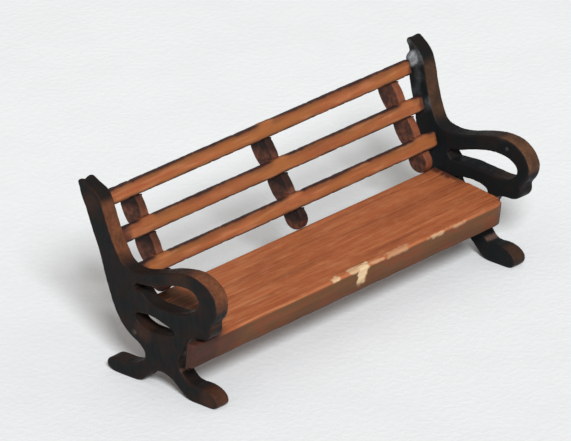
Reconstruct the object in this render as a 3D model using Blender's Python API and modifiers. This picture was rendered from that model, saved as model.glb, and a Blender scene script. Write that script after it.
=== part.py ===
"""Miniature park bench: two scroll end frames, a seat with a front rail, three back slats and three ribs.

Metres, +Z up, the length along X, and the front towards -Y. The bench stands on Z = 0, and the origin is
the middle of its footprint. Outlines are listed in millimetres as (depth, height) from the heel of the
rear leg's arch, and DATUM_SHIFT moves the finished pieces from there to the origin.
"""

import math

import bmesh
import bpy
from mathutils import Matrix, Vector

MM = 0.001
GAP = 0.3 * MM
WELD_DISTANCE = 0.001 * MM
SMOOTH_ANGLE = math.radians(40.0)
DATUM_SHIFT = Vector((0.0, 2.637, 0.0)) * MM

# End frames: overall length is measured over their outer faces, at the height where the splay is zero.
OVERALL_LENGTH = 70.0 * MM
FRAME_THICKNESS = 2.6 * MM
FRAME_SPLAY = 0.09
SPLAY_HEIGHT = 14.5 * MM
FRAME_EDGE_ROUND = 0.14 * MM

# Seat: a thin board between the end frames and a deep rail along its front, both tipped down to the front.
# The rail lies in front of the frames' waists, so its ends don't have to meet the frames.
SEAT_DEPTH = 13.95 * MM
SEAT_TIP = math.radians(6.2)
SEAT_REAR_TOP = Vector((0.0, 1.8, 11.62)) * MM
SEAT_EDGE_ROUND = 0.3 * MM
BOARD_THICKNESS = 1.4 * MM
RAIL_HEIGHT = 3.8 * MM
RAIL_THICKNESS = 1.3 * MM
RAIL_LEFT_END = -35.8 * MM
RAIL_RIGHT_END = 31.6 * MM
RAIL_EDGE_ROUND = 0.45 * MM

# Back slats: centres lie on one raked line, lowest slat first.
SLAT_THICKNESS = 1.3 * MM
SLAT_HEIGHT = 2.35 * MM
SLAT_TILT = math.radians(20.0)
SLAT_PITCH = 5.65 * MM
SLAT_END_GAP = 0.6 * MM
LOWEST_SLAT = Vector((0.0, 2.15, 16.05)) * MM
BACK_RAKE = math.radians(31.5)
SLAT_EDGE_ROUND = 0.16 * MM
SLAT_NAMES = ("back_slat_lower", "back_slat_middle", "back_slat_upper")

# Back ribs: scalloped strips glued behind the slats, with a lobe in each space below a slat. Each one has
# the distance of its middle from the bench's middle, and its sideways lean as a slope.
RIB_THICKNESS = 1.35 * MM
RIB_SET_BACK = 1.3 * MM
RIB_LOBE_HALF_WIDTH = 1.75 * MM
RIB_LOBE_HALF_HEIGHT = 3.1 * MM
RIB_NECK_HALF_WIDTH = 1.25 * MM
RIB_BOTTOM = 3.97 * MM
RIB_TOP = 0.95 * MM
RIB_EDGE_ROUND = 0.1 * MM
RIB_LOBE_FULLNESS = 2.4
RIB_OUTLINE_STEPS = 56
NOTCH_REACH = 3.0 * MM
RIBS = (
    ("back_rib_left", -26.9 * MM, 0.05),
    ("back_rib_centre", 0.95 * MM, -0.07),
    ("back_rib_right", 28.95 * MM, -0.03),
)

BACK_UP = Vector((0.0, math.sin(BACK_RAKE), math.cos(BACK_RAKE)))
BACK_REAR = Vector((0.0, math.cos(BACK_RAKE), -math.sin(BACK_RAKE)))

# End frame outline in one loop: down the front, along under the feet and up the rear.
UPRIGHT_FRONT = [(4.35, 23.2), (3.05, 20.0), (2.0, 18.4), (0.3, 17.75)]
WAIST_FRONT = [(-10.3, 10.35), (-9.2, 9.0), (-8.4, 7.4), (-7.4, 5.4)]
FRONT_FOOT_TOP = [(-8.1, 3.9), (-9.5, 2.85), (-12.0, 2.8), (-13.8, 2.2), (-14.5, 1.2), (-14.15, 0.35)]
FRONT_SOLE = [(-13.2, 0.0), (-9.8, 0.0)]
LEG_ARCH = [(-8.6, 0.35), (-7.3, 1.25), (-5.9, 2.4), (-3.9, 2.95), (-1.9, 2.15), (0.0, 0.5)]
REAR_SOLE = [(1.1, 0.0), (4.9, 0.0)]
REAR_FOOT_TOP = [(6.3, 0.35), (6.75, 1.1), (6.2, 1.95), (5.0, 2.3), (2.4, 2.35), (0.0, 3.4)]
WAIST_REAR = [(-1.0, 4.7), (-0.3, 6.05), (1.6, 7.15), (3.4, 9.0)]
UPRIGHT_REAR = [(4.75, 11.8), (5.75, 15.8), (6.55, 19.2), (7.75, 23.0), (8.5, 25.5)]

# The frames are cut by hand, so each has its own arm, finial and openings. The arm runs from the upright
# to the underside of its scroll.
LEFT_FINIAL = [(9.5, 29.6), (7.8, 29.05), (6.0, 28.1), (5.25, 26.3)]
LEFT_FINIAL_REAR = [(9.1, 27.0), (9.5, 28.6)]
LEFT_ARM = [(-2.3, 18.1), (-6.8, 19.65), (-9.1, 20.3), (-11.6, 20.6), (-13.1, 20.3), (-14.4, 19.6),
            (-15.5, 18.3), (-15.7, 16.6), (-15.3, 14.9), (-14.35, 13.6), (-14.3, 12.5), (-13.6, 11.3),
            (-12.0, 10.7)]
LEFT_ARM_OPENING = [(0.3, 15.3), (-1.1, 14.9), (-2.0, 14.0), (-3.4, 13.4), (-5.3, 13.35), (-8.6, 13.65),
                    (-11.0, 14.7), (-12.2, 15.9), (-12.35, 17.0), (-11.8, 17.9), (-10.4, 18.35),
                    (-6.7, 17.65), (-3.0, 16.4)]
LEFT_LOWER_OPENING = [(0.4, 10.9), (-1.3, 11.5), (-3.4, 11.5), (-5.1, 11.1), (-6.5, 10.7), (-7.4, 10.2),
                      (-6.4, 9.6), (-4.3, 9.15), (-2.5, 9.05), (-0.9, 9.3), (0.2, 9.95)]
RIGHT_FINIAL = [(9.05, 29.8), (7.6, 29.25), (6.0, 27.9), (5.25, 26.3)]
RIGHT_FINIAL_REAR = [(8.95, 26.9), (8.35, 28.1)]
RIGHT_ARM = [(-2.2, 17.75), (-7.0, 18.95), (-10.7, 19.5), (-13.6, 18.9), (-15.4, 17.4), (-16.0, 15.9),
             (-15.6, 14.3), (-14.75, 13.1), (-14.85, 12.2), (-14.3, 11.2), (-13.2, 10.75), (-11.9, 10.7)]
RIGHT_ARM_OPENING = [(-0.3, 14.4), (-2.9, 15.5), (-7.3, 16.75), (-10.5, 17.0), (-12.8, 16.4), (-13.75, 15.3),
                     (-13.1, 13.95), (-11.1, 13.35), (-8.6, 13.5), (-4.7, 13.75)]
RIGHT_LOWER_OPENING = [(-1.7, 10.6), (-2.9, 11.35), (-4.4, 11.55), (-6.0, 11.55), (-7.6, 11.3), (-8.5, 10.6),
                       (-7.7, 9.6), (-5.6, 8.9), (-3.6, 8.8), (-2.1, 9.5)]
LEFT_OPENINGS = (LEFT_ARM_OPENING, LEFT_LOWER_OPENING)
RIGHT_OPENINGS = (RIGHT_ARM_OPENING, RIGHT_LOWER_OPENING)
FRAMES = (
    ("left_end_frame", -1, LEFT_FINIAL, LEFT_ARM, LEFT_FINIAL_REAR, LEFT_OPENINGS),
    ("right_end_frame", 1, RIGHT_FINIAL, RIGHT_ARM, RIGHT_FINIAL_REAR, RIGHT_OPENINGS),
)


def start_collections():
    """Empties the scene and returns the collections for the parts and for the cutters."""
    for item in list(bpy.data.objects):
        bpy.data.objects.remove(item, do_unlink=True)
    parts = bpy.data.collections.new("park_bench")
    cutters = bpy.data.collections.new("cutters")
    cutters.hide_render = True
    bpy.context.scene.collection.children.link(parts)
    bpy.context.scene.collection.children.link(cutters)
    return parts, cutters


def material(name, colour, roughness):
    """Returns a plain Principled material."""
    made = bpy.data.materials.new(name)
    made.use_nodes = True
    shader = made.node_tree.nodes["Principled BSDF"]
    shader.inputs["Base Color"].default_value = (*colour, 1.0)
    shader.inputs["Roughness"].default_value = roughness
    shader.inputs["Metallic"].default_value = 0.0
    return made


def move_to(item, collection):
    """Moves an object into one collection only."""
    for old in list(item.users_collection):
        old.objects.unlink(item)
    collection.objects.link(item)


def frame_inner_x(height):
    """Half the clear distance between the end frames at one height."""
    return OVERALL_LENGTH / 2 - FRAME_THICKNESS + FRAME_SPLAY * (height - SPLAY_HEIGHT)


def add_spline(curve, points, corners=()):
    """Adds a closed smooth spline through points in millimetres, with a straight break at each corner."""
    spline = curve.splines.new("BEZIER")
    spline.bezier_points.add(len(points) - 1)
    spline.use_cyclic_u = True
    for knot, point in zip(spline.bezier_points, points):
        kind = "VECTOR" if point in corners else "AUTO"
        knot.co = (point[0] * MM, point[1] * MM, 0.0)
        knot.handle_left_type = kind
        knot.handle_right_type = kind


def plate(name, outlines, thickness, edge_round, collection, corners=(), resolution=3):
    """Makes a mesh plate from outlines in the YZ plane, its thickness centred on X = 0."""
    curve = bpy.data.curves.new(name, "CURVE")
    curve.dimensions = "2D"
    curve.fill_mode = "BOTH"
    curve.resolution_u = resolution
    curve.extrude = thickness / 2 - edge_round
    curve.bevel_depth = edge_round
    curve.bevel_resolution = 1
    curve.offset = -edge_round
    for points in outlines:
        add_spline(curve, points, corners)
    drawn = bpy.data.objects.new(name + "_outline", curve)
    collection.objects.link(drawn)
    drawn.rotation_euler = (math.radians(90.0), 0.0, math.radians(90.0))
    bpy.context.view_layer.update()
    evaluated = drawn.evaluated_get(bpy.context.evaluated_depsgraph_get())
    mesh = bpy.data.meshes.new_from_object(evaluated)
    mesh.transform(drawn.matrix_world)
    bpy.data.objects.remove(drawn, do_unlink=True)
    shape = bmesh.new()
    shape.from_mesh(mesh)
    bmesh.ops.remove_doubles(shape, verts=shape.verts, dist=WELD_DISTANCE)
    bmesh.ops.recalc_face_normals(shape, faces=shape.faces)
    shape.to_mesh(mesh)
    shape.free()
    mesh.name = name
    made = bpy.data.objects.new(name, mesh)
    collection.objects.link(made)
    return made


def lean(item, slope, height):
    """Leans a piece sideways about one height, keeping its level faces level."""
    for vertex in item.data.vertices:
        vertex.co.x += slope * (vertex.co.z - height)


def end_frame(name, side, finial, arm, finial_rear, openings, collection):
    """One scroll end frame, on the left (side -1) or on the right (side 1)."""
    front = finial + UPRIGHT_FRONT + arm + WAIST_FRONT + FRONT_FOOT_TOP
    under = FRONT_SOLE + LEG_ARCH + REAR_SOLE
    rear = REAR_FOOT_TOP + WAIST_REAR + UPRIGHT_REAR + finial_rear
    outlines = (front + under + rear, *openings)
    soles = FRONT_SOLE + REAR_SOLE
    made = plate(name, outlines, FRAME_THICKNESS, FRAME_EDGE_ROUND, collection, corners=soles)
    lean(made, side * FRAME_SPLAY, SPLAY_HEIGHT)
    made.location.x = side * (OVERALL_LENGTH - FRAME_THICKNESS) / 2
    return made


def board(name, size, centre, tilt, edge_round, collection):
    """A straight board of one size, turned about its length, with rounded edges."""
    bpy.ops.mesh.primitive_cube_add(size=1.0)
    made = bpy.context.object
    made.name = name
    made.data.transform(Matrix.Diagonal((*size, 1.0)))
    made.location = centre
    made.rotation_euler.x = tilt
    bevel = made.modifiers.new("rounded_edges", "BEVEL")
    bevel.width = edge_round
    bevel.segments = 3
    move_to(made, collection)
    return made


def fit_between_frames(item, end_gap):
    """Moves a board's ends to the end frames' inner faces, so that they lie parallel to them."""
    turn = Matrix.Rotation(item.rotation_euler.x, 3, "X")
    for vertex in item.data.vertices:
        world_height = item.location.z + (turn @ vertex.co).z
        vertex.co.x = math.copysign(frame_inner_x(world_height) - end_gap, vertex.co.x)


def seat_point(behind_front, below_top):
    """A point in the middle of the seat, from its front top edge."""
    along = Vector((0.0, behind_front - SEAT_DEPTH, -below_top))
    return SEAT_REAR_TOP + Matrix.Rotation(SEAT_TIP, 3, "X") @ along


def seat_board(collection):
    """The thin board behind the front rail."""
    depth = SEAT_DEPTH - RAIL_THICKNESS - GAP
    centre = seat_point(SEAT_DEPTH - depth / 2, BOARD_THICKNESS / 2)
    size = (OVERALL_LENGTH, depth, BOARD_THICKNESS)
    made = board("seat_board", size, centre, SEAT_TIP, SEAT_EDGE_ROUND, collection)
    fit_between_frames(made, GAP)
    return made


def seat_front_rail(collection):
    """The deep rail along the front of the seat, level with the board's top."""
    centre = seat_point(RAIL_THICKNESS / 2, RAIL_HEIGHT / 2)
    centre.x = (RAIL_LEFT_END + RAIL_RIGHT_END) / 2
    size = (RAIL_RIGHT_END - RAIL_LEFT_END, RAIL_THICKNESS, RAIL_HEIGHT)
    return board("seat_front_rail", size, centre, SEAT_TIP, RAIL_EDGE_ROUND, collection)


def slat_centre(number):
    """The middle of one back slat, counted up from the lowest."""
    return LOWEST_SLAT + BACK_UP * SLAT_PITCH * number


def back_slat(number, collection):
    """One of the three back slats."""
    size = (OVERALL_LENGTH, SLAT_THICKNESS, SLAT_HEIGHT)
    made = board(SLAT_NAMES[number], size, slat_centre(number), -SLAT_TILT, SLAT_EDGE_ROUND, collection)
    fit_between_frames(made, SLAT_END_GAP)
    return made


def slat_notch_cutter(number, collection):
    """A box that clears one slat by the gap and runs out past the front of the ribs."""
    bpy.ops.mesh.primitive_cube_add(size=1.0)
    made = bpy.context.object
    made.name = "notch_cutter_" + str(number + 1)
    depth = SLAT_THICKNESS / 2 + GAP + NOTCH_REACH
    made.data.transform(Matrix.Diagonal((OVERALL_LENGTH, depth, SLAT_HEIGHT + 2 * GAP, 1.0)))
    made.data.transform(Matrix.Translation((0.0, SLAT_THICKNESS / 2 + GAP - depth / 2, 0.0)))
    made.location = slat_centre(number)
    made.rotation_euler.x = -SLAT_TILT
    made.display_type = "WIRE"
    made.hide_render = True
    move_to(made, collection)
    return made


def rib_half_width(along):
    """Half the rib's width at a height along the rake: a lobe in each space, and a neck at each slat."""
    widest = RIB_NECK_HALF_WIDTH
    for lobe in range(len(SLAT_NAMES)):
        reach = (along - (lobe - 0.5) * SLAT_PITCH) / RIB_LOBE_HALF_HEIGHT
        if abs(reach) < 1.0:
            widest = max(widest, RIB_LOBE_HALF_WIDTH * math.sqrt(1.0 - abs(reach) ** RIB_LOBE_FULLNESS))
    end = min(1.0, (along + RIB_BOTTOM) / RIB_LOBE_HALF_WIDTH)
    return widest * math.sqrt(max(0.0, 1.0 - (1.0 - end) ** 2))


def back_rib(name, middle, slope, collection, cutters):
    """One scalloped rib behind the slats, notched round each of them."""
    length = RIB_BOTTOM + 2 * SLAT_PITCH + RIB_TOP
    side = []
    for step in range(1, RIB_OUTLINE_STEPS + 1):
        share = 1.0 - math.cos(math.pi * step / (2 * RIB_OUTLINE_STEPS))
        along = length * share - RIB_BOTTOM
        side.append((rib_half_width(along), along))
    loop = [(0.0, -RIB_BOTTOM)] + side + [(-wide, along) for wide, along in reversed(side)]
    outline = [(wide / MM, along / MM) for wide, along in loop]
    made = plate(name, (outline,), RIB_THICKNESS, RIB_EDGE_ROUND, collection, resolution=1)
    made.data.transform(Matrix.Rotation(-BACK_RAKE, 4, "X"))
    made.data.transform(Matrix.Translation(LOWEST_SLAT + BACK_REAR * RIB_SET_BACK))
    lean(made, slope, slat_centre(1).z)
    made.location.x = middle
    for cutter in cutters:
        notch = made.modifiers.new(cutter.name, "BOOLEAN")
        notch.operation = "DIFFERENCE"
        notch.solver = "EXACT"
        notch.object = cutter
    return made


def finish(item, look):
    """Gives a piece its material and its smooth shading."""
    item.data.materials.clear()
    item.data.materials.append(look)
    item.data.shade_smooth()
    item.data.set_sharp_from_angle(angle=SMOOTH_ANGLE)


def main():
    parts, cutters = start_collections()
    painted = material("black_painted_wood", (0.035, 0.03, 0.028), 0.55)
    stained = material("stained_wood", (0.42, 0.17, 0.07), 0.6)
    dark_stained = material("dark_stained_wood", (0.12, 0.065, 0.045), 0.65)

    for frame in FRAMES:
        finish(end_frame(*frame, parts), painted)
    finish(seat_board(parts), stained)
    finish(seat_front_rail(parts), stained)
    for number in range(len(SLAT_NAMES)):
        finish(back_slat(number, parts), stained)
    notches = [slat_notch_cutter(number, cutters) for number in range(len(SLAT_NAMES))]
    for name, middle, slope in RIBS:
        finish(back_rib(name, middle, slope, parts, notches), dark_stained)

    for item in (*parts.objects, *cutters.objects):
        item.location += DATUM_SHIFT


main()
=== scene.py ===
"""Looks for the miniature park bench: worn painted end frames, stained and scorched boards, and dark ribs.

Metres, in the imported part's frame: +Z up, the length along X, and the front towards -Y.
"""

import math

import bmesh
import bpy
import numpy as np
from mathutils import Matrix, Vector, noise


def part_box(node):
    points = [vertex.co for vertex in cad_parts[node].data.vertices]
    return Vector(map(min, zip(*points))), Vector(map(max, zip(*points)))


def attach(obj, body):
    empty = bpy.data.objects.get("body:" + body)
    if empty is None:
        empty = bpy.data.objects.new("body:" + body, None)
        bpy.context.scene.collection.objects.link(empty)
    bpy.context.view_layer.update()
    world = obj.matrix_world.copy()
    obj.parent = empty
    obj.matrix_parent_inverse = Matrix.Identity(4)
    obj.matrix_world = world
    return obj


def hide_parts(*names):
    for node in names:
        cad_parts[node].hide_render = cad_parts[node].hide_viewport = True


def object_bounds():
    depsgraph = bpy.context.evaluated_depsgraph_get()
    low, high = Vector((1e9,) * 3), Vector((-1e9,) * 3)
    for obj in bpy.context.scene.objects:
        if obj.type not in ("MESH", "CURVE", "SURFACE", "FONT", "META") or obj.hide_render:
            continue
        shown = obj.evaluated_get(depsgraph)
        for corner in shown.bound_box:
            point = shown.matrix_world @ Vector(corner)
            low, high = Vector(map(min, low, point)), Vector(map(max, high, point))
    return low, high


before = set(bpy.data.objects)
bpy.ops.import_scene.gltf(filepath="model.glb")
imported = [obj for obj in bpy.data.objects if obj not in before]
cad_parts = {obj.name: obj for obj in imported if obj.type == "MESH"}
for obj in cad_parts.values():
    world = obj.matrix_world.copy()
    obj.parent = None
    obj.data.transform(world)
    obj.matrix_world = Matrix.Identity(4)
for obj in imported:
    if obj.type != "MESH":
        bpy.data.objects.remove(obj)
CAD_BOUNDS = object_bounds()

MM = 0.001

# Camera: it looks at a point just left of the bench's middle, from the left of its front.
CAMERA_AZIMUTH = math.radians(48.0)
CAMERA_ELEVATION = math.radians(24.1)
CAMERA_DISTANCE = 942.0 * MM
CAMERA_LENS = 409.8
SENSOR_WIDTH = 36.0
CLIP_START = 0.01
CLIP_END = 10.0
AIM_RIGHT = -4.08 * MM
AIM_UP = -0.13 * MM

# Light: one soft key from behind and above the camera, and a plain bright room.
KEY_AZIMUTH = math.radians(40.0)
KEY_ELEVATION = math.radians(37.0)
KEY_DISTANCE = 4.0
KEY_SIZE = 1.0
KEY_WATTS = 171.0
KEY_COLOUR = (0.965, 0.985, 1.0)
ROOM_COLOUR = (1.0, 0.972, 0.935)
ROOM_STRENGTH = 0.42

# Floor: a little darker towards the front left, over this distance on both sides of the bench.
FLOOR_RADIUS = 3.0
FLOOR_SIDES = 96
FRONT_LEFT = (-0.7, -0.7, 0.0)
SHADE_REACH = 80.0 * MM

# Colours, linear.
FLOOR_PALE = (0.87, 0.885, 0.895)
FLOOR_SHADE = (0.79, 0.80, 0.81)
STAIN_PALE = (0.40, 0.124, 0.046)
STAIN_MIDDLE = (0.33, 0.088, 0.031)
STAIN_DEEP = (0.18, 0.044, 0.017)
GOLDEN = (0.34, 0.115, 0.032)
RUBBED = (0.52, 0.22, 0.10)
BARE_WOOD = (0.68, 0.51, 0.31)
# Scorch, also the colour of painted shade by the left arm and frame.
SCORCH_AND_SHADE = (0.028, 0.011, 0.012)
# The rail's front face, also the colour of painted shade on the boards.
RAIL_FACE_AND_SHADE = (0.125, 0.052, 0.020)
RIB_MIDDLE = (0.132, 0.047, 0.028)
RIB_DEEP = (0.045, 0.018, 0.013)
RIB_BARE = (0.22, 0.080, 0.042)
# Black on the ribs' lobes, partly painted shade under the slats.
RIB_BLACK = (0.008, 0.005, 0.005)
PAINT_COLD = (0.007, 0.009, 0.010)
PAINT_WARM = (0.018, 0.010, 0.007)
PAINT_WORN = (0.165, 0.058, 0.027)
PAINT_OLIVE = (0.095, 0.055, 0.030)
# Pale scuffs, also a painted sheen on the right frame's inner face.
SCUFF_AND_SHEEN = (0.36, 0.38, 0.40)
FLESH_BARE = (0.40, 0.22, 0.17)


def smooth_step(low, high, value):
    """0 below low, 1 above high and smooth between them. With low above high it falls instead."""
    share = min(1.0, max(0.0, (value - low) / (high - low)))
    return share * share * (3.0 - 2.0 * share)


def spot(value, centre, reach):
    """1 at the centre, falling smoothly to 0 at the reach on both sides."""
    return smooth_step(reach, 0.0, abs(value - centre))


def waver(point, along, across, seed=0.0):
    """Smooth noise from -1 to 1 whose features have one length along X and one width across it."""
    place = (point.x / along + seed, point.y / across - seed, point.z / across + 2.0 * seed)
    return noise.noise(Vector(place))


# Shader helpers.


def add_node(tree, kind, inputs, output=0, **settings):
    """Adds a shader node and returns one output. An input is a value or the socket that feeds it."""
    made = tree.nodes.new(kind)
    for name, value in settings.items():
        setattr(made, name, value)
    for name, value in inputs.items():
        if isinstance(value, bpy.types.NodeSocket):
            tree.links.new(value, made.inputs[name])
        else:
            made.inputs[name].default_value = value
    return made.outputs[output]


def sized_noise(tree, size, detail=2.0, roughness=0.5):
    """Noise whose features have the given size along X, Y and Z."""
    place = tree.nodes.new("ShaderNodeTexCoord").outputs["Object"]
    scale = [1.0 / length for length in size]
    point = add_node(tree, "ShaderNodeVectorMath", {0: place, 1: scale}, operation="MULTIPLY")
    inputs = {"Vector": point, "Scale": 1.0, "Detail": detail, "Roughness": roughness}
    return add_node(tree, "ShaderNodeTexNoise", inputs)


def grain_noise(tree, along, across, detail=2.0, roughness=0.5):
    """Noise whose features have one length along X and one width across it."""
    return sized_noise(tree, (along, across, across), detail, roughness)


def between(tree, value, low, high, to_low=0.0, to_high=1.0):
    """Maps a value smoothly from one range to another."""
    inputs = {"Value": value, "From Min": low, "From Max": high, "To Min": to_low, "To Max": to_high}
    return add_node(tree, "ShaderNodeMapRange", inputs, interpolation_type="SMOOTHSTEP")


def maths(tree, operation, first, second):
    """One operation on two values, with its result kept between 0 and 1."""
    return add_node(tree, "ShaderNodeMath", {0: first, 1: second}, operation=operation, use_clamp=True)


def mixed(tree, share, first, second):
    """The first colour where the share is 0 and the second where it is 1."""
    made = tree.nodes.new("ShaderNodeMix")
    made.data_type = "RGBA"
    for socket, value in ((made.inputs[0], share), (made.inputs[6], first), (made.inputs[7], second)):
        if isinstance(value, bpy.types.NodeSocket):
            tree.links.new(value, socket)
        elif isinstance(value, tuple):
            socket.default_value = (*value, 1.0)
        else:
            socket.default_value = value
    return made.outputs[2]


def mask(tree, name):
    """A piece's painted mask, from 0 to 1."""
    made = tree.nodes.new("ShaderNodeAttribute")
    made.attribute_name = name
    return made.outputs["Fac"]


def start_material(name):
    """A new material, its node tree and its Principled shader."""
    made = bpy.data.materials.new(name)
    made.use_nodes = True
    return made, made.node_tree, made.node_tree.nodes["Principled BSDF"]


def finish_material(tree, shader, colour, roughness, height, relief):
    """Joins the colour, the roughness and a bump of the given depth to the shader."""
    bump = add_node(tree, "ShaderNodeBump", {"Height": height, "Distance": relief, "Strength": 1.0})
    tree.links.new(colour, shader.inputs["Base Color"])
    tree.links.new(roughness, shader.inputs["Roughness"])
    tree.links.new(bump, shader.inputs["Normal"])


# Materials.


def stained_wood():
    """Orange-brown stain with lengthwise streaks. Masks: golden, shade for painted shade, rubbed, bare, and a
    last one for scorched edges and smudges that also carries painted shade.
    """
    made, tree, shader = start_material("stained_wood_grain")
    streak = between(tree, grain_noise(tree, 9.0 * MM, 0.5 * MM, 4.0, 0.6), 0.36, 0.66)
    band = between(tree, grain_noise(tree, 26.0 * MM, 1.9 * MM, 2.0), 0.42, 0.68)
    pore = between(tree, grain_noise(tree, 2.4 * MM, 0.12 * MM, 2.0), 0.60, 0.74)
    colour = mixed(tree, streak, STAIN_MIDDLE, STAIN_PALE)
    colour = mixed(tree, maths(tree, "MULTIPLY", band, 0.35), colour, STAIN_DEEP)
    colour = mixed(tree, maths(tree, "MULTIPLY", pore, 0.4), colour, STAIN_DEEP)
    mottle = between(tree, grain_noise(tree, 2.6 * MM, 1.1 * MM, 4.0, 0.6), 0.45, 0.70)
    colour = mixed(tree, maths(tree, "MULTIPLY", mottle, 0.22), colour, RUBBED)
    colour = mixed(tree, mask(tree, "golden"), colour, GOLDEN)
    blotch = between(tree, grain_noise(tree, 4.5 * MM, 1.3 * MM, 3.0), 0.45, 0.62)
    # Painted shade: the shade mask darkens the stain towards the rail's front-face colour, with blotches.
    face = mixed(tree, maths(tree, "MULTIPLY", blotch, 0.55), RAIL_FACE_AND_SHADE, STAIN_DEEP)
    colour = mixed(tree, mask(tree, "shade"), colour, face)
    colour = mixed(tree, mask(tree, "rubbed"), colour, RUBBED)
    pale_wood = mixed(tree, streak, RUBBED, BARE_WOOD)
    colour = mixed(tree, mask(tree, "bare"), colour, mixed(tree, 0.75, pale_wood, BARE_WOOD))
    # Scorched edges and smudges, and painted shade where the seat and rail lie by the left frame.
    colour = mixed(tree, mask(tree, "scorch_and_shade"), colour, SCORCH_AND_SHADE)
    height = maths(tree, "SUBTRACT", streak, maths(tree, "MULTIPLY", pore, 0.6))
    finish_material(tree, shader, colour, between(tree, streak, 0.0, 1.0, 0.5, 0.68), height, 0.03 * MM)
    shader.inputs["Specular IOR Level"].default_value = 0.15
    return made


def dark_rib_wood():
    """Dark reddish stain. Masks: one for black paint that also carries painted shade under the slats, and
    bare.
    """
    made, tree, shader = start_material("dark_rib_wood")
    cloud = between(tree, grain_noise(tree, 0.9 * MM, 0.9 * MM, 4.0, 0.6), 0.38, 0.64)
    fibre = between(tree, grain_noise(tree, 0.16 * MM, 0.9 * MM, 2.0), 0.40, 0.66)
    colour = mixed(tree, cloud, RIB_DEEP, RIB_MIDDLE)
    bare = mixed(tree, fibre, STAIN_MIDDLE, RIB_BARE)
    colour = mixed(tree, mask(tree, "bare"), colour, bare)
    colour = mixed(tree, mask(tree, "scorch_and_shade"), colour, RIB_BLACK)
    height = maths(tree, "ADD", cloud, maths(tree, "MULTIPLY", fibre, 0.4))
    finish_material(tree, shader, colour, between(tree, cloud, 0.0, 1.0, 0.5, 0.72), height, 0.03 * MM)
    shader.inputs["Specular IOR Level"].default_value = 0.15
    return made


def worn_paint():
    """Brushed near-black paint over brown wood. Masks: warm, worn, olive, bare, and a last one for pale
    scuffs and painted sheen.
    """
    made, tree, shader = start_material("worn_black_paint")
    cloud = between(tree, grain_noise(tree, 3.0 * MM, 3.0 * MM, 4.0, 0.6), 0.36, 0.66)
    brush = between(tree, sized_noise(tree, (1.0 * MM, 0.8 * MM, 3.6 * MM), 4.0, 0.6), 0.35, 0.68)
    fleck = between(tree, grain_noise(tree, 0.6 * MM, 0.6 * MM, 5.0, 0.7), 0.42, 0.60)
    warm = maths(tree, "ADD", mask(tree, "warm"), between(tree, cloud, 0.0, 1.0, -0.2, 0.3))
    colour = mixed(tree, warm, PAINT_COLD, PAINT_WARM)
    under = mixed(tree, mask(tree, "olive"), PAINT_WORN, PAINT_OLIVE)
    worn = maths(tree, "MULTIPLY", mask(tree, "worn"), between(tree, fleck, 0.0, 1.0, 0.72, 1.0))
    colour = mixed(tree, worn, colour, under)
    colour = mixed(tree, mask(tree, "bare"), colour, FLESH_BARE)
    # Pale scuffs, and the painted sheen on the right frame's inner face.
    scuff_and_sheen = maths(tree, "MULTIPLY", mask(tree, "scuff_and_sheen"), between(tree, fleck, 0.0, 1.0, 0.55, 1.0))
    colour = mixed(tree, scuff_and_sheen, colour, SCUFF_AND_SHEEN)
    height = maths(tree, "ADD", brush, maths(tree, "MULTIPLY", cloud, 0.4))
    finish_material(tree, shader, colour, between(tree, brush, 0.0, 1.0, 0.42, 0.58), height, 0.016 * MM)
    shader.inputs["IOR"].default_value = 1.17
    shader.inputs["Specular IOR Level"].default_value = 0.4
    return made


def floor_material():
    """Plain pale paper with a faint mottle."""
    made, tree, shader = start_material("pale_floor")
    mottle = between(tree, grain_noise(tree, 14.0 * MM, 14.0 * MM, 5.0, 0.6), 0.4, 0.66)
    grit = between(tree, grain_noise(tree, 1.1 * MM, 1.1 * MM, 3.0, 0.6), 0.35, 0.7)
    place = tree.nodes.new("ShaderNodeTexCoord").outputs["Object"]
    inputs = {0: place, 1: FRONT_LEFT}
    depth = add_node(tree, "ShaderNodeVectorMath", inputs, "Value", operation="DOT_PRODUCT")
    nearness = between(tree, depth, -SHADE_REACH, SHADE_REACH, 0.0, 0.75)
    shade = maths(tree, "ADD", maths(tree, "MULTIPLY", mottle, 0.2), nearness)
    colour = mixed(tree, shade, FLOOR_PALE, FLOOR_SHADE)
    finish_material(tree, shader, colour, between(tree, grit, 0.0, 1.0, 0.75, 0.9), grit, 0.025 * MM)
    shader.inputs["Specular IOR Level"].default_value = 0.2
    return made


# Mesh helpers.

END_DEPTH = 1.0 * MM
WELD_DISTANCE = 0.001 * MM
NO_GROWTH = (0.0, 0.0, 0.0, 0.0)


def set_masks(mesh, masks):
    """Stores each mask on the mesh, one number for each vertex."""
    for name, values in masks.items():
        mesh.attributes.new(name, "FLOAT", "POINT").data.foreach_set("value", values)


def show(piece, node, look):
    """Puts a finished piece in the scene in the place of its CAD node."""
    bpy.context.scene.collection.objects.link(piece)
    piece.data.materials.clear()
    piece.data.materials.append(look)
    piece.data.shade_smooth()
    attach(piece, "root")
    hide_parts(node)


def end_slope(mesh, right_end):
    """How far a board's right end moves out for each metre up."""
    near_end = [vertex.co for vertex in mesh.vertices if vertex.co.x > right_end - END_DEPTH]
    return np.polyfit([point.z for point in near_end], [point.x for point in near_end], 1)[0]


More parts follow.
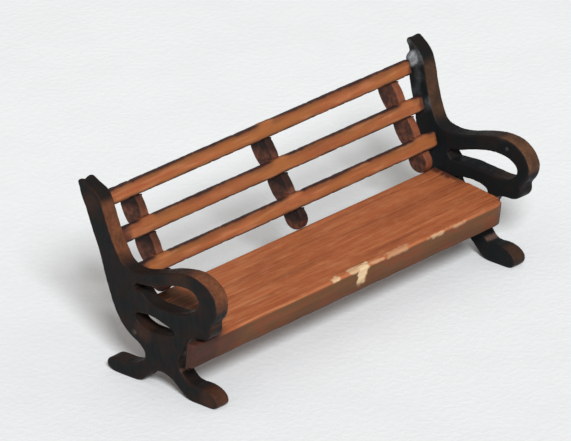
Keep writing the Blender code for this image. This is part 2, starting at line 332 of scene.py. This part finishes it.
class Board:
    """Where a CAD board lies: its middle, its turn about X, its half sizes, and how its ends slope."""

    def __init__(self, node):
        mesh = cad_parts[node].data
        widest = max((face for face in mesh.polygons if abs(face.normal.x) < 0.5), key=lambda face: face.area)
        quarter = math.pi / 2
        angle = math.atan2(-widest.normal.y, widest.normal.z)
        self.turn = Matrix.Rotation(angle - quarter * round(angle / quarter), 3, "X")
        local = np.array([self.turn.transposed() @ vertex.co for vertex in mesh.vertices])
        low, high = local.min(axis=0), local.max(axis=0)
        self.half = Vector((high - low) / 2)
        self.centre = self.turn @ Vector((high + low) / 2)
        self.slope = end_slope(mesh, high[0])

    def place(self, point):
        """A point in the board's own axes, moved to where the board lies."""
        moved = self.turn @ point
        moved.x += self.slope * moved.z * point.x / self.half.x
        return self.centre + moved


def cuts(half, edge, step):
    """Places along one side of a board: close together over the rounded edges, then at an even step."""
    fine = [edge * share for share in (0.0, 0.3, 0.6, 1.0)]
    count = max(1, round(2 * (half - edge) / step))
    middle = [edge + 2 * (half - edge) * number / count for number in range(1, count)]
    return [place - half for place in fine + middle] + [half - place for place in reversed(fine)]


def box_lattice(sides):
    """The corners and faces of a box whose six sides are divided at the given places."""
    places, faces, index = [], [], {}

    def corner(key):
        if key not in index:
            index[key] = len(places)
            places.append(Vector([side[number] for side, number in zip(sides, key)]))
        return index[key]

    last = [len(side) - 1 for side in sides]
    for axis in range(3):
        first, second = [other for other in range(3) if other != axis]
        for end in (0, last[axis]):
            for one in range(last[first]):
                for two in range(last[second]):
                    quad = []
                    for step_one, step_two in ((0, 0), (1, 0), (1, 1), (0, 1)):
                        key = [end, end, end]
                        key[first] = one + step_one
                        key[second] = two + step_two
                        quad.append(corner(tuple(key)))
                    faces.append(quad)
    return places, faces


def board_piece(node, edges, steps, look, wear, grow=NO_GROWTH):
    """Makes a worn board with rounded edges in the place of a CAD one.

    edges are the rounding radii in the front half and in the rear half. steps are the sizes of its faces
    along X, Y and Z. wear gives each point's offset and its masks. grow is how far the left end, the right
    end, the front and the rear reach past the CAD board.
    """
    board = Board(node)
    board.centre += board.turn @ Vector((grow[1] - grow[0], grow[3] - grow[2], 0.0)) / 2
    board.half += Vector((grow[0] + grow[1], grow[2] + grow[3], 0.0)) / 2
    places, faces = box_lattice([cuts(half, max(edges), step) for half, step in zip(board.half, steps)])
    points, masks = [], {}
    for place in places:
        edge = edges[0] if place.y < 0.0 else edges[1]
        core = Vector([min(half - edge, max(edge - half, value)) for half, value in zip(board.half, place)])
        outward = (place - core).normalized()
        rounded = core + outward * edge
        offset, marks = wear(rounded, outward, board)
        points.append(board.place(rounded + offset))
        for mark, value in marks.items():
            masks.setdefault(mark, []).append(value)
    name = node + "_worn"
    mesh = bpy.data.meshes.new(name)
    mesh.from_pydata(points, [], faces)
    shape = bmesh.new()
    shape.from_mesh(mesh)
    bmesh.ops.recalc_face_normals(shape, faces=shape.faces)
    shape.to_mesh(mesh)
    shape.free()
    set_masks(mesh, masks)
    show(bpy.data.objects.new(name, mesh), node, look)


# Boards.


def grain_offset(point, outward, seed, height):
    """Raised grain: fine ridges that run along X, over a slower unevenness."""
    ridge = waver(point, 9.0 * MM, 0.42 * MM, seed)
    swell = waver(point, 14.0 * MM, 3.0 * MM, seed + 5.0)
    return outward * height * (0.6 * ridge + 0.8 * swell)


def seat_wear(point, outward, board):
    """The seat board: grooved grain, rubbed towards the left, smeared at its right end, painted shade on its
    sides and underside, and the left arm's and frame's painted shadow at its left end.
    """
    groove = -smooth_step(0.25, 0.6, waver(point, 22.0 * MM, 0.7 * MM, 3.0)) * max(0.0, outward.z)
    offset = grain_offset(point, outward, 1.0, 0.05 * MM) + outward * groove * 0.05 * MM
    patch = smooth_step(0.1, 0.5, waver(point, 6.0 * MM, 0.5 * MM, 8.0))
    left = smooth_step(5.0 * MM, -25.0 * MM, point.x)
    from_left = point.x + board.half.x + 1.2 * MM * waver(point, 2.0 * MM, 1.4 * MM, 14.0)
    from_right = board.half.x - point.x + 0.9 * MM * waver(point, 0.8 * MM, 0.7 * MM, 16.0)
    rear = smooth_step(-1.0 * MM, 3.0 * MM, point.y)
    # Painted shadow of the left arm on the seat's rear left.
    in_arm_shade = smooth_step(9.0 * MM, 6.0 * MM, from_left) * smooth_step(-2.5 * MM, 0.5 * MM, point.y)
    dark_grain = 0.3 * smooth_step(0.25, 0.6, waver(point, 20.0 * MM, 0.35 * MM, 11.0)) * (1.0 - left)
    smear = 0.85 * rear * smooth_step(1.9 * MM, 0.7 * MM, from_right)
    # Painted shade by the left frame at the seat's left end.
    left_frame_shade = 0.6 * smooth_step(4.5 * MM, 1.5 * MM, from_left)
    marks = {
        "golden": 0.0,
        "rubbed": 0.4 * patch * left,
        # Dark marks: real grain and smears, and painted shade by the left arm and frame.
        "scorch_and_shade": max(dark_grain, smear, 0.3 * in_arm_shade, left_frame_shade),
        "bare": 0.0,
        # Painted shade on the seat's sides and underside, and in the left arm's shadow.
        "shade": max(smooth_step(0.3, -0.3, outward.z), in_arm_shade),
    }
    return offset, marks


# Bare wood on the rail's front arris: the middle of each spot along X, its half length, how far it runs
# down the face, how far it reaches back over the top, and how strongly it shows.
CHIPS = (
    (2.7 * MM, 1.1 * MM, 2.4 * MM, 1.3 * MM, 1.0),
    (1.3 * MM, 1.6 * MM, 0.40 * MM, 1.3 * MM, 0.60),
    (-3.2 * MM, 0.9 * MM, 0.35 * MM, 0.8 * MM, 0.75),
    (5.6 * MM, 2.0 * MM, 0.25 * MM, 0.4 * MM, 0.40),
    (10.0 * MM, 2.6 * MM, 0.50 * MM, 0.9 * MM, 0.30),
    (19.0 * MM, 2.0 * MM, 0.60 * MM, 0.2 * MM, 0.50),
    (23.4 * MM, 1.7 * MM, 0.55 * MM, 0.2 * MM, 0.35),
)


def rail_wear(point, outward, board):
    """The front rail: a worn top arris, chips down to bare wood, a darker front face, and painted shade
    beside the left frame.
    """
    below_top = board.half.z - point.z
    behind_front = point.y + board.half.y
    above_bottom = board.half.z + point.z
    bare = 0.0
    for middle, reach, drop, back, strength in CHIPS:
        ragged = 0.6 * waver(point, 0.8 * MM, 0.6 * MM, middle / MM)
        along = abs(point.x - middle + 0.30 * below_top) / (reach * (1.0 - 0.25 * below_top / drop))
        beside = smooth_step(1.15, 0.75, along + ragged)
        under = smooth_step(1.2, 0.85, below_top / drop + 0.5 * ragged)
        behind = smooth_step(1.2, 0.6, behind_front / back + ragged)
        bare = max(bare, strength * beside * under * behind)
    arris = smooth_step(0.45 * MM, 0.1 * MM, below_top) * smooth_step(0.55 * MM, 0.15 * MM, behind_front)
    streaks = smooth_step(-0.1, 0.35, waver(point, 5.0 * MM, 0.25 * MM, 4.0))
    left = smooth_step(-8.0 * MM, -16.0 * MM, point.x)
    # Painted shade of the left frame over the rail's left part: darker there, with no rubbed wear.
    shade_near_frame = smooth_step(-20.0 * MM, -27.0 * MM, point.x)
    ragged_x = point.x + 0.5 * MM * waver(point, 1.5 * MM, 1.0 * MM, 17.0)
    shade_beside_frame = smooth_step(-25.5 * MM, -29.5 * MM, ragged_x)
    second = spot(behind_front, 1.0 * MM, 0.3 * MM) * max(0.0, outward.z)
    rubbed = max(arris * streaks * (0.25 + 0.55 * left), 0.7 * second * streaks * left) * (1.0 - shade_near_frame)
    from_right = board.half.x - point.x
    bow = 1.0 - min(1.0, from_right / (1.6 * MM))
    offset = grain_offset(point, outward, 7.0, 0.05 * MM)
    offset -= outward * bare * 0.14 * MM
    offset.y += 0.45 * MM * bow * bow * smooth_step(0.0, -1.0, outward.y)
    offset.z += 0.10 * MM * smooth_step(0.2, -0.8, outward.z) * waver(point, 3.0 * MM, 9.0 * MM, 2.0)
    cut_corner = smooth_step(-33.2 * MM, -36.0 * MM, point.x) * smooth_step(2.0 * MM, 0.0, above_bottom)
    offset.z += 0.9 * MM * cut_corner
    right_end = smooth_step(2.6 * MM, 0.8 * MM, from_right)
    stripes = right_end * smooth_step(0.0, 0.5, waver(point, 0.22 * MM, 2.5 * MM, 6.0))
    rim = smooth_step(0.45 * MM, 0.1 * MM, from_right + 0.2 * MM * waver(point, 0.6 * MM, 0.6 * MM, 9.0))
    foot = smooth_step(0.75 * MM, 0.15 * MM, above_bottom + 0.3 * MM * waver(point, 2.6 * MM, 0.6 * MM, 12.0))
    face = smooth_step(0.1 * MM, 0.5 * MM, below_top) * smooth_step(0.6, 0.1, outward.z)
    ragged_depth = below_top + 0.7 * MM * waver(point, 5.0 * MM, 1.5 * MM, 13.0)
    lower = 0.3 * smooth_step(1.2 * MM, 3.2 * MM, ragged_depth)
    # The front face darkens towards its bottom, and near the left frame with painted shade.
    dark_face = face * max(0.55 * foot, lower, 0.55 * shade_near_frame)
    marks = {
        "golden": 0.0,
        "rubbed": rubbed,
        "bare": bare,
        "scorch_and_shade": max(0.35 * stripes, 0.75 * rim, dark_face, 0.78 * shade_beside_frame),
        "shade": max(face, shade_beside_frame),
    }
    return offset, marks


def slat_wear(seed, ribs):
    """Wear for one back slat: scorched ragged edges, clean over each rib, paint smudged at its ends, and
    painted shade over its face, deepest along its top and bottom.
    """

    def wear(point, outward, board):
        below_top = board.half.z - point.z
        above_bottom = board.half.z + point.z
        nibble = waver(point, 1.3 * MM, 9.0 * MM, seed) + 0.6 * waver(point, 0.5 * MM, 9.0 * MM, seed + 3.0)
        offset = grain_offset(point, outward, seed, 0.045 * MM)
        offset.z -= 0.10 * MM * smooth_step(0.5 * MM, 0.0, below_top) * max(0.0, nibble)
        offset.z += 0.12 * MM * smooth_step(0.5 * MM, 0.0, above_bottom) * max(0.0, -nibble)
        burn = 0.46 * MM + 0.26 * MM * waver(point, 6.0 * MM, 9.0 * MM, seed + 6.0) + 0.08 * MM * nibble
        at_rib = max(smooth_step(2.2 * MM, 0.7 * MM, abs(point.x + board.centre.x - place)) for place in ribs)
        top = smooth_step(burn, burn - 0.46 * MM, below_top) * (1.0 - 0.75 * at_rib)
        offset.z += 0.07 * MM * at_rib * smooth_step(0.6 * MM, 0.0, below_top)
        singe = 0.42 * MM + 0.18 * MM * waver(point, 2.4 * MM, 9.0 * MM, seed + 9.0)
        bottom = smooth_step(singe, singe - 0.36 * MM, above_bottom)
        smeared = 0.8 * MM * waver(point, 1.5 * MM, 1.0 * MM, seed)
        left_smudge = smooth_step(2.6 * MM, 0.7 * MM, board.half.x + point.x + smeared)
        right_smudge = smooth_step(1.1 * MM, 0.2 * MM, board.half.x - point.x + smeared)
        ends = max(0.8 * left_smudge, 0.7 * right_smudge)
        # Painted shade on the rounded face, deepest along its top and bottom edges.
        ragged_depth = below_top + 0.3 * MM * waver(point, 5.0 * MM, 9.0 * MM, seed + 15.0)
        shaded_top = (1.0 - at_rib) * smooth_step(1.2 * MM, 0.4 * MM, ragged_depth)
        shaded_foot = smooth_step(0.9 * MM, 0.2 * MM, above_bottom)
        marks = {
            "golden": 0.8 * smooth_step(-0.35, 0.5, waver(point, 11.0 * MM, 1.6 * MM, seed + 18.0)),
            "scorch_and_shade": min(1.0, max(0.95 * top, 0.85 * bottom) + ends),
            "rubbed": 0.25 * smooth_step(0.1, 0.5, waver(point, 5.0 * MM, 0.5 * MM, seed + 12.0)),
            "bare": 0.0,
            # Painted shade: a little over the whole face, more along the top and bottom.
            "shade": min(1.0, 0.2 + 0.45 * shaded_top + 0.35 * shaded_foot),
        }
        return offset, marks

    return wear


# End frames and ribs.

# Worn edges spread to their neighbours this many times, and this percentile of the bulge is fully worn.
EDGE_SPREAD = 3
EDGE_PERCENTILE = 96

# Half the thickness of an end frame.
HALF_FRAME = 1.3 * MM

# A notch's wall that lies no further than this from a slat closes on it.
NOTCH_REACH = 0.45 * MM


def fine_copy(node, voxel, rounds):
    """An object with a closed, evenly divided copy of a CAD node's mesh, softened by a number of rounds."""
    name = node + "_worn"
    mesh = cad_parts[node].data.copy()
    shape = bmesh.new()
    shape.from_mesh(mesh)
    bmesh.ops.remove_doubles(shape, verts=shape.verts, dist=WELD_DISTANCE)
    shape.to_mesh(mesh)
    shape.free()
    source = bpy.data.objects.new(name + "_source", mesh)
    bpy.context.scene.collection.objects.link(source)
    remesh = source.modifiers.new("even_faces", "REMESH")
    remesh.mode = "VOXEL"
    remesh.voxel_size = voxel
    soften = source.modifiers.new("soften", "SMOOTH")
    soften.factor = 0.5
    soften.iterations = rounds
    graph = bpy.context.evaluated_depsgraph_get()
    made = bpy.data.meshes.new_from_object(source.evaluated_get(graph))
    bpy.data.objects.remove(source)
    made.name = name
    if "sharp_face" in made.attributes:
        made.attributes.remove(made.attributes["sharp_face"])
    return bpy.data.objects.new(name, made)


def edge_wear(mesh):
    """How much each vertex lies on an outward edge, from 0 to 1, spread over its neighbours."""
    count = len(mesh.vertices)
    place = np.zeros(count * 3)
    mesh.vertices.foreach_get("co", place)
    place = place.reshape(-1, 3)
    normal = np.zeros(count * 3)
    mesh.vertices.foreach_get("normal", normal)
    normal = normal.reshape(-1, 3)
    edges = np.zeros(len(mesh.edges) * 2, int)
    mesh.edges.foreach_get("vertices", edges)
    first, second = edges.reshape(-1, 2).T
    number = np.bincount(first, minlength=count) + np.bincount(second, minlength=count)

    def neighbour_mean(values):
        total = np.bincount(first, values[second], count) + np.bincount(second, values[first], count)
        return total / number

    middle = np.stack([neighbour_mean(place[:, axis]) for axis in range(3)], axis=1)
    bulge = ((place - middle) * normal).sum(axis=1)
    for _ in range(EDGE_SPREAD):
        bulge = neighbour_mean(bulge)
    return np.clip(bulge / np.percentile(bulge, EDGE_PERCENTILE), 0.0, 1.0)


def wear_piece(piece, wear):
    """Moves each vertex and paints its masks. Wear gets the place, the normal and the edge share."""
    mesh = piece.data
    edge = edge_wear(mesh)
    normals = [vertex.normal.copy() for vertex in mesh.vertices]
    masks = {}
    for vertex, normal, share in zip(mesh.vertices, normals, edge):
        offset, marks = wear(vertex.co.copy(), normal, float(share))
        vertex.co += offset
        for mark, value in marks.items():
            masks.setdefault(mark, []).append(value)
    mesh.update()
    set_masks(mesh, masks)


def near(point, places):
    """The strongest of several round spots on a frame, each with its depth, height, radius and strength."""
    best = 0.0
    for depth, height, radius, strength in places:
        ragged = 1.0 + 0.3 * waver(point, 0.6 * radius, 0.6 * radius, height / MM)
        away = math.hypot(point.y - depth, point.z - height) * ragged
        best = max(best, strength * smooth_step(radius, 0.35 * radius, away))
    return best


def frame_wear(side, warm, olive, dip, brown, knee, scuffs):
    """Wear for one end frame, on the left (side -1) or on the right (side 1).

    warm is how brown its paint is, and olive how grey the wood is under it. dip is the depth of the hollow
    across its top. brown, knee and scuffs are round places, as near() takes them, where the paint is thin,
    gone or scraped. One brown place, on the right arm's top, also stands in for a sheen there: painted sheen.
    """
    low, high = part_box("left_end_frame" if side < 0 else "right_end_frame")
    top_middle = low.x + HALF_FRAME if side < 0 else high.x - HALF_FRAME

    def wear(point, normal, edge):
        seed = 30.0 + 10.0 * side
        side_strip = 0.75 - 0.2 * side
        hand_cut = waver(point, 2.6 * MM, 2.6 * MM, seed)
        brushed = waver(point, 0.8 * MM, 1.4 * MM, seed + 4.0)
        offset = normal * (0.05 * MM + 0.05 * MM * hand_cut + 0.015 * MM * brushed)
        rim = smooth_step(0.85, 0.5, abs(normal.x))
        forward = smooth_step(0.15, 0.6, 0.35 * normal.z - 0.95 * normal.y)
        upright = smooth_step(17.6 * MM, 20.5 * MM, point.z) * smooth_step(27.8 * MM, 26.0 * MM, point.z)
        upward = smooth_step(0.3, 0.75, 0.7 * normal.z - 0.6 * normal.y)
        scroll = smooth_step(-5.5 * MM, -9.0 * MM, point.y) * smooth_step(12.5 * MM, 14.5 * MM, point.z)
        toe = 0.35 * smooth_step(-8.0 * MM, -10.5 * MM, point.y) * smooth_step(4.0 * MM, 2.5 * MM, point.z)
        patch = 0.85 + 0.45 * waver(point, 2.0 * MM, 2.0 * MM, seed + 8.0)
        strip = rim * patch * max(side_strip * forward * upright, upward * scroll, forward * toe)
        streaky = smooth_step(0.1, 0.5, waver(point, 3.0 * MM, 1.6 * MM, seed + 16.0))
        thin = 0.08 * warm * streaky + 0.05 * edge * patch + 0.05 * warm * rim
        on_face = smooth_step(0.5, 0.9, abs(normal.x)) if side > 0 else 0.0
        thin = max(thin, near(point, brown) * (0.75 + 0.25 * streaky) * (1.0 - 0.8 * on_face))
        # Painted sheen: a pale cloud over the upper inner face of the right frame.
        cloudy = smooth_step(-0.3, 0.5, waver(point, 3.0 * MM, 2.2 * MM, seed + 20.0))
        inner_top = smooth_step(-0.5, -0.9, normal.x) * smooth_step(18.0 * MM, 22.0 * MM, point.z)
        painted_sheen = 0.19 * cloudy * inner_top * max(0, side)
        offset.z -= dip * spot(point.x, top_middle, 0.9 * MM) * smooth_step(28.6 * MM, 29.6 * MM, point.z)
        marks = {
            "warm": min(1.0, warm + 0.1 * rim),
            "worn": min(1.0, max(strip, thin)),
            "olive": olive,
            "bare": near(point, knee) * smooth_step(0.9, 0.3, abs(normal.x)),
            # Scuffs, with the painted sheen.
            "scuff_and_sheen": max(near(point, scuffs), painted_sheen),
        }
        return offset, marks

    return wear


def rib_wear(seed, bare_front, blackness, slats):
    """Wear for one rib: its notches close on the slats, its lobes are black on top, partly dark paint and
    partly painted shade under each slat, and its front is paler.
    """
    slat_bottoms = [slat.centre.z - slat.half.z for slat in slats]

    def closing(point, normal):
        """How far a notch's wall moves to reach the slat in it."""
        for slat in slats:
            to_slat = slat.turn.transposed()
            local = to_slat @ (point - slat.centre)
            inward = to_slat @ normal
            gap_y = abs(local.y) - slat.half.y
            gap_z = abs(local.z) - slat.half.z
            if gap_y > gap_z:
                facing = -inward.y * math.copysign(1.0, local.y)
            else:
                facing = -inward.z * math.copysign(1.0, local.z)
            gap = max(gap_y, gap_z)
            if gap < NOTCH_REACH and facing > 0.5:
                return max(0.0, gap) * smooth_step(0.5, 0.8, facing)
        return 0.0

    def wear(point, normal, edge):
        offset = normal * (0.06 * MM + 0.03 * MM * waver(point, 1.1 * MM, 1.1 * MM, seed))
        offset = normal * max(offset.length, closing(point, normal))
        # Black under each slat: partly dark paint, partly painted shade cast by the slat.
        below = min((bottom - point.z for bottom in slat_bottoms if bottom > point.z - 0.6 * MM), default=1.0)
        ragged = 0.35 * MM * waver(point, 0.8 * MM, 0.8 * MM, seed + 2.0)
        black = blackness * smooth_step(2.4 * MM, 0.8 * MM, below + ragged)
        front = smooth_step(0.35, 0.8, 0.35 * normal.z - 0.95 * normal.y)
        strip = bare_front * front * (0.8 + 0.3 * waver(point, 1.5 * MM, 1.5 * MM, seed + 5.0))
        marks = {
            "scorch_and_shade": black * (1.0 - 0.7 * front * bare_front),
            "bare": max(strip, 0.25 * edge * bare_front),
        }
        return offset, marks

    return wear


# Stage.


def make_floor():
    """A wide round floor under the bench."""
    mesh = bpy.data.meshes.new("floor")
    shape = bmesh.new()
    bmesh.ops.create_circle(shape, cap_ends=True, segments=FLOOR_SIDES, radius=FLOOR_RADIUS)
    shape.to_mesh(mesh)
    shape.free()
    mesh.materials.append(floor_material())
    floor = bpy.data.objects.new("floor", mesh)
    floor.location.z = CAD_BOUNDS[0].z
    bpy.context.scene.collection.objects.link(floor)


def direction(azimuth, elevation):
    """The unit vector from the bench towards a place left of its front."""
    level = math.cos(elevation)
    return Vector((-math.sin(azimuth) * level, -math.cos(azimuth) * level, math.sin(elevation)))


def make_camera():
    """The scene's camera."""
    back = direction(CAMERA_AZIMUTH, CAMERA_ELEVATION)
    right = Vector((math.cos(CAMERA_AZIMUTH), -math.sin(CAMERA_AZIMUTH), 0.0))
    up = back.cross(right)
    centre = (CAD_BOUNDS[0] + CAD_BOUNDS[1]) / 2
    lens = bpy.data.cameras.new("camera")
    lens.sensor_width = SENSOR_WIDTH
    lens.lens = CAMERA_LENS
    lens.clip_start = CLIP_START
    lens.clip_end = CLIP_END
    camera = bpy.data.objects.new("camera", lens)
    camera.location = centre + right * AIM_RIGHT + up * AIM_UP + back * CAMERA_DISTANCE
    camera.rotation_euler = Matrix((right, up, back)).transposed().to_euler()
    bpy.context.scene.collection.objects.link(camera)
    bpy.context.scene.camera = camera


def make_light():
    """The soft key light and the plain bright room."""
    towards = direction(KEY_AZIMUTH, KEY_ELEVATION)
    lamp = bpy.data.lights.new("key", "AREA")
    lamp.shape = "DISK"
    lamp.size = KEY_SIZE
    lamp.energy = KEY_WATTS
    lamp.color = KEY_COLOUR
    key = bpy.data.objects.new("key", lamp)
    key.location = towards * KEY_DISTANCE
    key.rotation_euler = towards.to_track_quat("Z", "Y").to_euler()
    key.visible_camera = False
    bpy.context.scene.collection.objects.link(key)
    world = bpy.data.worlds.new("room")
    world.use_nodes = True
    backdrop = world.node_tree.nodes["Background"]
    backdrop.inputs["Color"].default_value = (*ROOM_COLOUR, 1.0)
    backdrop.inputs["Strength"].default_value = ROOM_STRENGTH
    bpy.context.scene.world = world


# How finely each piece is divided, how its edges are rounded and how far it grows, as board_piece() and
# fine_copy() take them.
SEAT_EDGES = (0.1 * MM, 0.28 * MM)
SEAT_STEPS = (0.45 * MM, 0.16 * MM, 0.2 * MM)
SEAT_GROWTH = (0.25 * MM, 0.25 * MM, 0.29 * MM, 0.0)
RAIL_EDGES = (0.42 * MM, 0.1 * MM)
RAIL_STEPS = (0.25 * MM, 0.12 * MM, 0.12 * MM)
SLAT_EDGES = (0.3 * MM, 0.3 * MM)
SLAT_STEPS = (0.25 * MM, 0.11 * MM, 0.11 * MM)
SLAT_GROWTH = (0.45 * MM, 0.15 * MM, 0.0, 0.0)
FRAME_VOXEL = 0.13 * MM
FRAME_ROUNDS = 5
RIB_VOXEL = 0.09 * MM
RIB_ROUNDS = 2

SLATS = ("back_slat_lower", "back_slat_middle", "back_slat_upper")

# Each rib, with how bare its front edge is and how black its lobes are.
RIBS = (
    ("back_rib_left", 0.45, 0.9),
    ("back_rib_centre", 0.1, 0.9),
    ("back_rib_right", 0.7, 0.3),
)

# Each end frame, with what frame_wear() takes.
LEFT_KNEE = ((-5.6 * MM, 4.6 * MM, 0.7 * MM, 0.8),)
RIGHT_KNEE = ((-6.4 * MM, 3.3 * MM, 0.7 * MM, 0.24),)
LEFT_SCUFFS = ((3.4 * MM, 7.9 * MM, 0.55 * MM, 0.12),)
RIGHT_SCUFFS = (
    (10.2 * MM, 27.0 * MM, 1.5 * MM, 0.9),
    (-9.0 * MM, 18.2 * MM, 0.4 * MM, 0.1),
)
LEFT_BROWN = (
    (1.6 * MM, 8.6 * MM, 2.2 * MM, 0.22),
    (-10.5 * MM, 1.6 * MM, 2.6 * MM, 0.25),
    (-6.0 * MM, 19.0 * MM, 3.5 * MM, 0.14),
    (9.8 * MM, 26.5 * MM, 2.2 * MM, 0.14),
)
# The last place, on the arm's top, is thin brown paint that also paints a sheen there.
RIGHT_BROWN = (
    (-10.0 * MM, 1.8 * MM, 2.0 * MM, 0.12),
    (3.0 * MM, 13.2 * MM, 2.2 * MM, 0.12),
    (-5.5 * MM, 18.8 * MM, 3.0 * MM, 0.20),
)
FRAMES = (
    ("left_end_frame", -1, 0.3, 0.0, 0.28 * MM, LEFT_BROWN, LEFT_KNEE, LEFT_SCUFFS),
    ("right_end_frame", 1, 0.0, 0.6, 0.1 * MM, RIGHT_BROWN, RIGHT_KNEE, RIGHT_SCUFFS),
)


def make_boards():
    """The seat board, its front rail and the three back slats.

    The lower slats are clean where each rib crosses them, and the upper slat only at the middle rib.
    """
    wood = stained_wood()
    board_piece("seat_board", SEAT_EDGES, SEAT_STEPS, wood, seat_wear, SEAT_GROWTH)
    board_piece("seat_front_rail", RAIL_EDGES, RAIL_STEPS, wood, rail_wear)
    boxes = [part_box(node) for node, _, _ in RIBS]
    ribs = [(low.x + high.x) / 2 for low, high in boxes]
    for number, node in enumerate(SLATS):
        crossed = ribs[1:2] if node == "back_slat_upper" else ribs
        wear = slat_wear(4.0 + 7.0 * number, crossed)
        board_piece(node, SLAT_EDGES, SLAT_STEPS, wood, wear, SLAT_GROWTH)


def make_frames():
    """The two painted end frames."""
    paint = worn_paint()
    for node, *settings in FRAMES:
        piece = fine_copy(node, FRAME_VOXEL, FRAME_ROUNDS)
        wear_piece(piece, frame_wear(*settings))
        show(piece, node, paint)


def make_ribs():
    """The three dark ribs behind the slats."""
    rib_wood = dark_rib_wood()
    slats = [Board(node) for node in SLATS]
    for number, (node, bare_front, blackness) in enumerate(RIBS):
        piece = fine_copy(node, RIB_VOXEL, RIB_ROUNDS)
        wear_piece(piece, rib_wear(50.0 + 3.0 * number, bare_front, blackness, slats))
        show(piece, node, rib_wood)


make_camera()
make_floor()
make_light()
make_boards()
make_frames()
make_ribs()
bpy.context.scene.view_settings.view_transform = "Standard"
